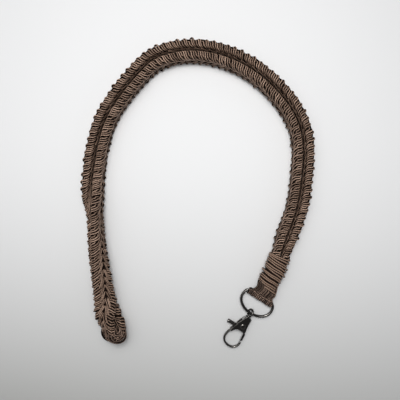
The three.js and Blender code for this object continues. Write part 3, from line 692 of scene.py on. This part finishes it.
def side_knots(name, route, knots, fold):
    """The strands of each knot that go round the two edges of the strap."""
    turn = math.pi * np.linspace(0, 1, SIDE_POINTS)[None, :]
    around = np.sin(turn)
    face = np.cos(turn)
    knot, side, strand = np.meshgrid(
        knots, (1.0, -1.0), np.arange(SIDE_STRANDS), indexing="ij")
    shape = knot.shape
    loose = np.broadcast_to(rng.uniform(*KNOT_LOOSENESS, shape[:2] + (1,)), shape)
    shift = np.broadcast_to(rng.normal(0, KNOT_SHIFT, shape[:2] + (1,)), shape)
    knot, side, strand, loose, shift = (
        v.reshape(-1, 1) for v in (knot, side, strand, loose, shift))
    each = (len(knot), 1)

    place = (strand - (SIDE_STRANDS - 1) / 2) * SIDE_PITCH + rng.normal(0, SIDE_JITTER, each)
    fan = SIDE_FACE_PITCH + (1 - SIDE_FACE_PITCH) * around ** 0.6
    lean = rng.uniform(*EDGE_LEANS, each)
    slope = lean * EDGE_SLOPE / 2 * face + FACE_SLOPE * np.sign(face) * (1 - around ** 1.1)
    s = np.clip((knot + 0.5) * STITCH + shift + place * fan + slope, 0, route.length)

    sizes = route.take(route.sizes, s)
    bulge = np.array(EDGE_BULGE)[strand.astype(int)] * loose + rng.normal(0, SIDE_JITTER, each)
    bulge = bulge * np.clip((np.abs(s - fold) - CALM_REACH) / CALM_FADE, CALM_BULGE, 1)
    reach = sizes[..., 0] / 2 - STRAND_RADIUS - SIDE_START + 0.5 * bulge * around ** 2
    a = side * (SIDE_START + reach * around ** 0.62)

    outward = np.clip(0.35 + face, 0, 1) * np.clip(around * 2.2, 0.25, 1)
    half = sizes[..., 1] / 2 - STRAND_RADIUS + FACE_BULGE * bulge * outward
    half = half - RUN_GAP_INSET * (face < 0)
    b = half * signed_power(face, 0.5)
    b = b - np.sign(b) * SIDE_SINK * (1 - around ** 0.5)

    centres = route.place(s, a, b)
    normals = route.direction(s, side * around ** 1.4, face + 0 * s)
    size = STRAND_RADIUS * rng.uniform(*STRAND_SIZES, each)
    return tubes(name, centres, normals, size * 0.96, size, 7, CORD)


def chain_links(route, knots):
    """The steep V links down the middle of both faces."""
    q = np.linspace(0, 1, CHAIN_POINTS)[None, :]
    knot, face, side, strand = np.meshgrid(
        knots, (1.0, -1.0), (1.0, -1.0), CHAIN_STRAND_PLACES, indexing="ij")
    knot, face, side, strand = (v.reshape(-1, 1) for v in (knot, face, side, strand))
    each = (len(knot), 1)
    along, across, through = CHAIN_JITTER
    s = (knot + 0.5) * STITCH + face * (q - 0.5) * CHAIN_LENGTH
    s = np.clip(s + rng.normal(0, along, each), 0, route.length)
    a = side * (CHAIN_SPREAD * (1 - q) ** 1.2 + 0.1 + CHAIN_STRAND_PITCH * strand)
    a = a + rng.normal(0, across, each)
    rise = np.sin(math.pi * (0.06 + 0.88 * q)) ** 0.8
    half = route.take(route.sizes, s)[..., 1] / 2
    lift = np.where(face > 0, CHAIN_RISE, 0.3 * CHAIN_RISE)
    b = face * (half - CHAIN_DEPTH + lift * rise + rng.normal(0, through, each))
    centres = route.place(s, a, b)
    normals = route.direction(s, 0.25 * a / CHAIN_SPREAD, face + 0 * s)
    size = CHAIN_STRAND_RADIUS * rng.uniform(0.85, 1.1, each)
    return tubes("face_chain_links", centres, normals, size, size, 6, CORD)


def fold_strands(route, fold):
    """Long strands laid side by side round the fold, on both edges of the strap."""
    row, edge = np.meshgrid(np.arange(FOLD_STRANDS), (1.0, -1.0), indexing="ij")
    row, edge = (v.reshape(-1, 1) for v in (row, edge))
    q = np.linspace(-1, 1, FOLD_POINTS)[None, :]
    reach = FOLD_REACH + rng.uniform(-2.5, 1.5, row.shape)
    s = fold + reach * q + 0 * row
    sizes = route.take(route.sizes, s)
    b = (row - (FOLD_STRANDS - 1) / 2) * FOLD_PITCH * (1 - 0.25 * q ** 2)
    rounding = np.sqrt(np.clip(1 - (b / (sizes[..., 1] / 2 + 0.5)) ** 2, 0.05, 1))
    dip = FOLD_DIP * np.abs(q) ** 5
    a = edge * (sizes[..., 0] / 2 - FOLD_DEPTH * (1 - rounding) - dip)
    a = a + 0.2 * np.sin(3 * q + row) + 0.3 * np.sin(9 * q + 2.3 * row)
    b = b + 0.3 * np.sin(6 * q + 4.1 * row)
    centres = route.place(s, a, b)
    normals = route.direction(s, edge + 0 * s, b / 4)
    size = STRAND_RADIUS * rng.uniform(0.95, 1.1, row.shape)
    return tubes("fold_strands", centres, normals, size, size, 8, SHADED_CORD)


def make_strap():
    """The strap's core, the knots round it, and the cord that they stand for."""
    rows, fold = strap_rows()
    route = Route(rows)
    core = strap_core(route)
    knots = np.arange(int(route.length / STITCH))
    half = len(knots) // 2
    outer = side_knots("outer_run_knots", route, knots[:half], fold)
    inner = side_knots("inner_run_knots", route, knots[half:], fold)
    chain = chain_links(route, knots)
    turn = fold_strands(route, fold)
    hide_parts("knotting_cords", "filler_cords")


# ---- Wrap, tails and hitches ----
WRAP_LENGTH = float(np.linalg.norm(WRAP_END - WRAP_START))
WRAP_AXIS = unit(WRAP_END - WRAP_START)
WRAP_LEVEL = unit(np.cross(UP, WRAP_AXIS))
BAR_WAY = np.array([math.cos(RING_ANGLE), math.sin(RING_ANGLE), 0.0])
STRAP_WAY = np.array([-BAR_WAY[1], BAR_WAY[0], 0.0])


def wrap_centre(distance):
    """Middle of the wrap's section at a distance from WRAP_START."""
    distance = np.asarray(distance, float)
    centre = WRAP_START + distance[..., None] * WRAP_AXIS
    centre = centre + table_value(WRAP_DRIFT, distance)[..., None] * WRAP_LEVEL
    return centre + (table_value(WRAP_HEIGHTS, distance) / 2 + REST_GAP)[..., None] * UP


def wound(turn_angles, distance, inset, wobble):
    """Centres and outward directions of a cord wound round the strap ends at a slant."""
    slant = WRAP_SLANT * np.clip((distance - 0.4) / WRAP_UPRIGHT, 0.1, 1)
    distance = distance + slant * np.cos(turn_angles)
    half_width = table_value(WRAP_WIDTHS, distance) / 2 - inset + wobble
    half_height = table_value(WRAP_HEIGHTS, distance) / 2 - inset
    across = half_width * signed_power(np.cos(turn_angles), 2 / WRAP_SQUARENESS)
    up = half_height * signed_power(np.sin(turn_angles), 2 / WRAP_SQUARENESS)
    centres = wrap_centre(distance) + across[:, None] * WRAP_LEVEL + up[:, None] * UP
    outward = unit(np.cos(turn_angles)[:, None] * WRAP_LEVEL + np.sin(turn_angles)[:, None] * UP)
    return centres, outward


def tucked(count):
    """Extra inset that draws both ends of a wound cord in under its neighbours."""
    ends = np.minimum(np.arange(count), np.arange(count)[::-1]) / WRAP_TUCK_POINTS
    return WRAP_TUCK * np.clip(1 - ends, 0, 1) ** 2


def wrap_turns():
    """One cord wound close round the strap ends, drawn into pairs of turns towards the ring."""
    turns = (WRAP_LENGTH + WRAP_OVERHANG - WRAP_CORD_RADIUS) / WRAP_PITCH
    count = int(turns * WRAP_TURN_POINTS)
    turn = np.linspace(0, turns, count)
    angle = turn * 2 * math.pi - math.pi / 3
    paired = np.clip(turn - WRAP_PAIRED_FROM, 0, 1) * np.sin(math.pi * turn)
    along, outwards = WRAP_PAIRING
    distance = (WRAP_CORD_RADIUS + WRAP_PITCH * turn + along * paired
                + WRAP_UNEVENNESS * np.sin(angle * 0.61))
    wobble = (WRAP_WOBBLE * (np.sin(angle * 0.37) + np.sin(angle * 1.31 + 1))
              + outwards * paired)
    centres, outward = wound(angle, distance, WRAP_CORD_RADIUS + tucked(count), wobble)
    return tubes("wrap_turns", centres[None], outward[None], WRAP_CORD_RADIUS,
                 WRAP_CORD_RADIUS, 10, CORD)


def wrap_core():
    """Dark body inside the wrap: painted shade in the gaps between its turns."""
    sides = 24
    rings = []
    for distance in np.linspace(1.0, WRAP_LENGTH - 1.0, 24):
        a, b = rounded_ring(table_value(WRAP_WIDTHS, distance) - 2 * WRAP_CORE_INSET,
                            table_value(WRAP_HEIGHTS, distance) - 2 * WRAP_CORE_INSET,
                            WRAP_SQUARENESS, sides)
        rings.append(wrap_centre(np.full(sides, distance)) + a[:, None] * WRAP_LEVEL
                     + b[:, None] * UP)
    loft("wrap_core", np.array(rings), "strap", CORE)


def tails_core():
    """Dark body between the strands of the tails, from inside the wrap to the bar: painted shade in
    the gaps.
    """
    rings = []
    for past, width, height, rise in TAILS_CORE:
        a, b = rounded_ring(width, height, 2.6, 20)
        if rise is None:
            middle = wrap_centre(np.array(WRAP_LENGTH + past))
        else:
            middle = RING_ORIGIN + (TAILS_LENGTH - past) * STRAP_WAY + rise * UP
        rings.append(middle + a[:, None] * BAR_WAY + b[:, None] * UP)
    loft("tails_core", np.array(rings), "strap", CORE)


def tail_leg(x, strand, sign):
    """Points of one strand from inside the wrap to just above the bar. sign is 1 on top."""
    share = x / (LOOP_COUNT / 2 * LOOP_PITCH) * (1.0 if sign > 0 else TAIL_SIDE_SHARE)
    layer = TAIL_LAYERS[strand % 2] + rng.uniform(-TAIL_JITTER, TAIL_JITTER)
    points = []
    for past, spread, height in TAILS_IN_WRAP:
        centre = wrap_centre(np.array(WRAP_LENGTH + past))
        points.append(centre + spread * share * WRAP_LEVEL + sign * (height + layer) * UP)
    for distance, spread, rise, height in TAILS_AT_BAR:
        points.append(RING_ORIGIN + distance * STRAP_WAY + spread * share * BAR_WAY
                      + (rise + sign * (height + layer * 0.8 - 0.5 * share ** 2)) * UP)
    return points


def hitch_strands():
    """Every strand of the loops: out of the wrap, round the bar and back."""
    made, normals = [], []
    for strand in range(2 * LOOP_COUNT):
        radius = RING_WIRE_RADIUS + HITCH_RADIUS + HITCH_GAP + rng.uniform(0, HITCH_LOOSENESS)
        x = (strand - (2 * LOOP_COUNT - 1) / 2) * LOOP_PITCH / 2
        x += rng.uniform(-LOOP_JITTER, LOOP_JITTER)
        on_bar = RING_ORIGIN + x * BAR_WAY
        bend = [on_bar + radius * (math.sin(angle) * UP - math.cos(angle) * STRAP_WAY)
                for angle in np.radians(np.linspace(HITCH_BEND, -HITCH_BEND, 11))]
        rows = np.array(tail_leg(x, strand, 1) + bend + tail_leg(x, strand, -1)[::-1])
        curve = even(spline(rows, 8), 0.5)
        curve = columns_at(np.linspace(0, 1, HITCH_POINTS), np.linspace(0, 1, len(curve)), curve)
        made.append(curve)
        reach = np.clip((curve - RING_ORIGIN) @ STRAP_WAY / TAILS_REACH, 0, 1)[:, None]
        away = curve - on_bar - reach * (TAILS_REACH * STRAP_WAY + TAILS_RISE * UP)
        normals.append(unit(away - (away @ BAR_WAY)[:, None] * BAR_WAY))
    return tubes("bar_hitch_strands", np.array(made), np.array(normals), HITCH_RADIUS,
                 HITCH_RADIUS, 8, SHADED_CORD)


def hitch_bights():
    """Short cross loops that hold each pair of strands just above the bar."""
    rings, normals = [], []
    turn = np.linspace(0, 2 * math.pi, BIGHT_POINTS)
    for i in range(LOOP_COUNT):
        x = (i - (LOOP_COUNT - 1) / 2) * LOOP_PITCH + rng.uniform(-LOOP_JITTER, LOOP_JITTER)
        across = BIGHT_HALF_WIDTH * signed_power(np.cos(turn), 0.8)
        thick = RING_WIRE_RADIUS + rng.uniform(*BIGHT_HEIGHTS) * HITCH_RADIUS
        high = thick * signed_power(np.sin(turn), 0.7)
        lean = rng.uniform(-0.5, 0.5)
        back = BIGHT_BACK + rng.uniform(-0.4, 0.4) + (lean - 0.6) * np.cos(turn) ** 2
        rings.append(RING_ORIGIN + (x + across)[:, None] * BAR_WAY + high[:, None] * UP
                     + back[:, None] * STRAP_WAY)
        normals.append(np.cos(turn)[:, None] * BAR_WAY + np.sin(turn)[:, None] * UP)
    tubes("bar_hitch_bights", np.array(rings), np.array(normals), BIGHT_RADIUS,
          BIGHT_RADIUS, 8, SHADED_CORD)


def make_binding():
    """The wrap, and the tails and loops between it and the ring."""
    wrap_core()
    tails_core()
    turns = wrap_turns()
    hitches = hitch_strands()
    hitch_bights()
    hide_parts("gathering_wrap")
    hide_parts("outer_run_tails", "inner_run_tails",
                *[f"bar_loop_{i + 1}" for i in range(LOOP_COUNT)])


# ---- Hardware ----
def turned(points, origin, angle):
    """Local points, turned about z and moved to origin."""
    points = np.asarray(points, float)
    c, s = math.cos(angle), math.sin(angle)
    x, y = points[..., 0], points[..., 1]
    return np.stack([c * x - s * y, s * x + c * y, points[..., 2]], axis=-1) + origin


RING_TURN = RING_ANGLE + math.pi
APEX = turned(np.array([0, RING_DEPTH, 0.0]), RING_ORIGIN, RING_TURN)


def in_ring(points):
    return turned(points, RING_ORIGIN, RING_TURN)


def in_hook(points):
    return turned(points, APEX, HOOK_ANGLE)


def sweep_rings(line, half_width, half_height, sides, closed=False, squareness=2.0):
    """Rings of a bar that follows a level line."""
    line = np.asarray(line, float)
    if closed:
        tangent = unit(np.roll(line, -1, axis=0) - np.roll(line, 1, axis=0))
    else:
        tangent = unit(np.gradient(line, axis=0))
    side = unit(np.cross(tangent, UP))
    turn = np.arange(sides) * 2 * math.pi / sides
    wide = half_width * signed_power(np.cos(turn), 2 / squareness)
    high = half_height * signed_power(np.sin(turn), 2 / squareness)
    return (line[:, None, :] + wide[None, :, None] * side[:, None, :]
            + high[None, :, None] * UP)


def arc(x, y, width, height, start, end, count):
    """Points after the first on an arc of an ellipse about (x, y, 0)."""
    turn = np.linspace(start, end, count)[1:]
    return np.column_stack([x + width * np.cos(turn), y + height * np.sin(turn), 0 * turn])


def d_ring():
    """Wire bent to a bar, two tight corners and a bow."""
    corner = RING_HALF_WIDTH - RING_HALF_BAR
    bar = np.linspace(-RING_HALF_BAR, RING_HALF_BAR, 13)
    line = np.vstack([
        np.column_stack([bar, 0 * bar, 0 * bar]),
        arc(RING_HALF_BAR, RING_SHOULDER, corner, RING_SHOULDER, -math.pi / 2, 0, 10),
        arc(0, RING_SHOULDER, RING_HALF_WIDTH, RING_DEPTH - RING_SHOULDER, 0, math.pi, 49),
        arc(-RING_HALF_BAR, RING_SHOULDER, corner, RING_SHOULDER, math.pi, 1.5 * math.pi, 10),
    ])[:-1]
    rings = in_ring(sweep_rings(line, RING_WIRE_RADIUS, RING_WIRE_RADIUS, 20, closed=True))
    piece = loft("d_ring_wire", rings, "ring", METAL, closed=True)
    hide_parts("d_ring")


def swivel_eye():
    """Tilted ring on the bow of the D-ring, with the stem that the hook turns on."""
    plane_x = np.array([math.sin(EYE_TILT), 0.0, math.cos(EYE_TILT)])
    plane_y = np.array([0.0, 1.0, 0.0])
    plane_normal = np.cross(plane_x, plane_y)
    section = np.linspace(0, 2 * math.pi, 17)[:-1, None]
    rings = []
    for turn in np.linspace(0, 2 * math.pi, 49)[:-1]:
        out = math.cos(turn) * plane_x + math.sin(turn) * plane_y
        rings.append(np.array([0, EYE_RISE, 0]) + (EYE_RADIUS + EYE_WIRE * np.cos(section)) * out
                     + EYE_WIRE * np.sin(section) * plane_normal)
    eye = loft("swivel_eye_ring", in_hook(np.array(rings)), "eye", METAL,
               closed=True)
    collar = EYE_RISE - EYE_RADIUS
    profile = ((collar - 0.2, 0.5), (collar - 0.35, 0.98), (collar - 0.75, 1.0),
               (collar - 1.0, STEM_RADIUS), (HEAD_TOP, STEM_RADIUS), (HEAD_TOP - 0.05, HEAD_RADIUS),
               (HEAD_BOTTOM + 0.2, HEAD_RADIUS), (HEAD_BOTTOM, HEAD_RADIUS * 0.7))
    turned_bar("swivel_stem", profile, "eye")
    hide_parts("swivel_eye")


def turned_bar(name, profile, body):
    """A round bar about the hook's own y axis, from (y, radius) pairs."""
    sides = 24
    turn = np.arange(sides) * 2 * math.pi / sides
    rings = [np.column_stack([r * np.cos(turn), np.full(sides, y), r * np.sin(turn)])
             for y, r in profile]
    loft(name, in_hook(np.array(rings)), body, METAL)


def rounded_plate(name, outline, low, high, body, bevel):
    """A flat plate in the hook's axes with its edges rounded."""
    work = bmesh.new()
    ring = [work.verts.new(tuple(to_row(in_hook(np.array([x, y, low])))))
            for x, y in outline]
    base = work.faces.new(ring)
    lifted = bmesh.ops.extrude_face_region(work, geom=[base])
    rise = Vector((0, 0, (high - low) * 0.001))
    tops = [v for v in lifted["geom"] if isinstance(v, bmesh.types.BMVert)]
    bmesh.ops.translate(work, verts=tops, vec=rise)
    bmesh.ops.recalc_face_normals(work, faces=work.faces)
    mesh = bpy.data.meshes.new(name)
    work.to_mesh(mesh)
    work.free()
    piece = new_piece(mesh, body, METAL)
    rounding = piece.modifiers.new("edges", "BEVEL")
    rounding.width = bevel * 0.001
    rounding.segments = 3
    rounding.limit_method = "ANGLE"
    rounding.angle_limit = math.radians(50)
    rounding.harden_normals = True
    return piece


def smooth_outline(points, per_segment):
    """Closed outline through points, rounded."""
    points = np.asarray(points, float)
    rows = np.column_stack([points, np.zeros(len(points))])
    rows = np.vstack([rows[-2:], rows, rows[:3]])
    dense = spline(rows, per_segment)
    inner = dense[2 * per_segment:(len(points) + 2) * per_segment]
    return inner[:, :2]


SHELL_OUTLINE = (
    (-1.4, -3.1), (1.9, -3.1), (2.45, -3.6), (2.4, -7.0), (2.45, -10.5), (2.75, -13.4),
    (2.4, -14.0), (0.4, -14.3), (-1.0, -14.0), (-2.2, -13.9), (-3.4, -14.15), (-4.6, -14.8),
    (-5.7, -15.9), (-6.6, -17.0), (-7.8, -16.4), (-7.2, -14.9), (-6.55, -13.4), (-5.4, -10.6),
    (-4.2, -7.8), (-2.9, -5.4), (-1.9, -3.7),
)
HOOK_LINE = (
    (-5.7, -13.9), (-6.6, -15.6), (-8.1, -18.4), (-8.8, -21.5), (-8.5, -23.9), (-7.0, -26.0),
    (-4.6, -27.2), (-2.0, -27.4), (0.2, -26.8), (1.9, -25.3), (2.9, -23.2), (3.0, -21.55),
)
INNER_WALL_OUTLINE = (
    (-1.9, -3.3), (2.3, -3.3), (2.3, -12.6), (1.62, -12.7), (1.62, -8.0), (1.76, -4.8),
    (1.15, -4.8), (-1.15, -4.8), (-1.76, -4.8), (-2.85, -6.5), (-3.3, -6.5),
)
LEVER_OUTLINE = (
    (-0.9, -9.3), (-7.2, -10.9), (-7.2, -12.7), (-1.2, -12.65), (0.5, -13.6), (1.9, -15.2),
    (2.1, -20.75), (3.55, -20.1), (3.6, -15.0), (2.2, -14.0), (1.25, -13.2), (1.0, -10.0),
)


def hook_body():
    """Two cheeks with a wall between them, and the wire of the hook."""
    outline = smooth_outline(SHELL_OUTLINE, 4)
    rounded_plate("hook_upper_cheek", outline, CAVITY_HALF_THICKNESS, SHELL_HALF_THICKNESS,
                  "hook", 0.4)
    rounded_plate("hook_lower_cheek", outline, -SHELL_HALF_THICKNESS, -CAVITY_HALF_THICKNESS,
                  "hook", 0.4)
    rounded_plate("hook_inner_wall", INNER_WALL_OUTLINE, -CAVITY_HALF_THICKNESS - 0.05,
                  CAVITY_HALF_THICKNESS + 0.05, "hook", 0.05)
    line = even(spline(np.column_stack([HOOK_LINE, np.zeros(len(HOOK_LINE))]), 8), 0.45)
    rings = sweep_rings(line, HOOK_WIRE_WIDTH / 2, HOOK_WIRE_HEIGHT / 2, 16, squareness=2.4)
    wire = loft("hook_wire", in_hook(rings), "hook", METAL)
    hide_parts("hook_body")


def trigger():
    """Lever with the gate at one end, the thumb stub at the other and a hub round the rivet."""
    lever = rounded_plate("trigger_gate", LEVER_OUTLINE, -LEVER_HALF_THICKNESS,
                          LEVER_HALF_THICKNESS, "trigger", 0.25)
    sides = 24
    turn = np.arange(sides) * 2 * math.pi / sides
    profile = ((THUMB_START + 0.6, 0.6), (THUMB_START, 1.0), (THUMB_START - 0.25, 1.22),
               (THUMB_END + 1.2, THUMB_RADIUS), (THUMB_END + 0.35, THUMB_RADIUS + 0.08),
               (THUMB_END + 0.08, THUMB_RADIUS - 0.15), (THUMB_END, THUMB_RADIUS - 0.5))
    rings = [np.column_stack([np.full(sides, x), THUMB_Y + r * np.cos(turn), r * np.sin(turn)])
             for x, r in profile]
    loft("trigger_thumb_stub", in_hook(np.array(rings)), "trigger", METAL)
    hub_ring = np.column_stack([HUB_RADIUS * np.cos(turn) + PIVOT[0],
                                HUB_RADIUS * np.sin(turn) + PIVOT[1], 0 * turn])
    rings = [hub_ring + np.array([0, 0, z]) for z in (-LEVER_HALF_THICKNESS, HUB_TOP)]
    loft("trigger_hub", in_hook(np.array(rings)), "trigger", METAL)
    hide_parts("trigger_lever")


def rivet():
    """Shank through the hook's cheeks with a dome on each side."""
    sides = 28
    turn = np.arange(sides) * 2 * math.pi / sides
    top = SHELL_HALF_THICKNESS
    dome = [(RIVET_HEAD_RADIUS * math.cos(a), top + 0.02 + RIVET_HEAD_HEIGHT * math.sin(a))
            for a in np.radians((0, 20, 40, 60, 78, 87))]
    profile = [(r, -z) for r, z in dome[::-1]] + [(RIVET_RADIUS, -top), (RIVET_RADIUS, top)]
    profile += dome
    rings = [np.column_stack([PIVOT[0] + r * np.cos(turn), PIVOT[1] + r * np.sin(turn),
                              np.full(sides, z)]) for r, z in profile]
    piece = loft("rivet", in_hook(np.array(rings)), "hook", METAL)
    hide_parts("pivot_rivet")


def finish_cad_spring():
    """The spring keeps its CAD shape and gets its material."""
    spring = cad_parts["trigger_spring"]
    for index in range(len(spring.material_slots)):
        spring.material_slots[index].material = SPRING


# ---- Table, light and camera ----
def table_top():
    """Pale table with painted shade that darkens it towards the near left."""
    size = TABLE_HALF_SIZE
    mesh = bpy.data.meshes.new("table_top")
    mesh.from_pydata([(-size, -size, 0), (size, -size, 0), (size, size, 0), (-size, size, 0)],
                     [], [(0, 1, 2, 3)])
    plane = bpy.data.objects.new("table_top", mesh)
    bpy.context.scene.collection.objects.link(plane)
    n = Nodes("pale_table_painted_shade")
    x, y, _ = n.axes(n.add("ShaderNodeTexCoord").outputs["Object"])
    # Painted shade: darker towards the near left, where the lamps' light falls off.
    down = n.spread(y, 0.05, -0.15, 0.0, 1.0)
    left = n.spread(x, 0.15, -0.15, 0.75, 1.0)
    shade = n.math("MULTIPLY", n.math("MULTIPLY", down, down), left)
    n.surface(Base_Color=n.mix(shade, TABLE_PALE, TABLE_PAINTED_SHADE), Roughness=0.7,
              Specular_IOR_Level=0.2)
    mesh.materials.append(n.material)


def area_light(name, place, size, power):
    """Round lamp aimed at the middle of the table. place and size are in metres."""
    data = bpy.data.lights.new(name, "AREA")
    data.shape = "DISK"
    data.size = size
    data.energy = power
    lamp = bpy.data.objects.new(name, data)
    lamp.location = place
    lamp.rotation_mode = "QUATERNION"
    lamp.rotation_quaternion = (-Vector(place)).to_track_quat("-Z", "Y")
    bpy.context.scene.collection.objects.link(lamp)


def sky():
    """Soft room light, darker straight overhead than at the sides."""
    world = bpy.data.worlds.new("studio")
    bpy.context.scene.world = world
    world.use_nodes = True
    tree = world.node_tree
    place = tree.nodes.new("ShaderNodeTexCoord")
    parts = tree.nodes.new("ShaderNodeSeparateXYZ")
    ramp = tree.nodes.new("ShaderNodeMapRange")
    ramp.inputs["From Min"].default_value = 0.55
    ramp.inputs["From Max"].default_value = 0.98
    ramp.inputs["To Min"].default_value = SKY_SIDE
    ramp.inputs["To Max"].default_value = SKY_OVERHEAD
    tree.links.new(place.outputs["Generated"], parts.inputs[0])
    tree.links.new(parts.outputs["Z"], ramp.inputs["Value"])
    background = tree.nodes["Background"]
    background.inputs["Color"].default_value = SKY_COLOUR
    tree.links.new(ramp.outputs[0], background.inputs["Strength"])


def light_and_camera():
    scene = bpy.context.scene
    sky()
    area_light("key", (0.0, 0.11, 0.45), 0.36, KEY_POWER)
    area_light("fill", (-0.24, 0.14, 0.60), 0.6, FILL_POWER)
    area_light("glint", (0.0, 0.12, 0.46), 0.10, GLINT_POWER)
    data = bpy.data.cameras.new("camera")
    data.sensor_width = 36.0
    data.angle = 2 * math.atan(CAMERA_HALF_WIDTH / CAMERA_HEIGHT)
    data.clip_start = 0.01
    data.clip_end = 10.0
    camera = bpy.data.objects.new("camera", data)
    camera.location = to_row(np.array([0, 0, CAMERA_HEIGHT]))
    scene.collection.objects.link(camera)
    scene.camera = camera
    scene.view_settings.view_transform = "Standard"
    scene.view_settings.look = "None"


light_and_camera()
table_top()
make_strap()
make_binding()
d_ring()
swivel_eye()
hook_body()
trigger()
rivet()
finish_cad_spring()
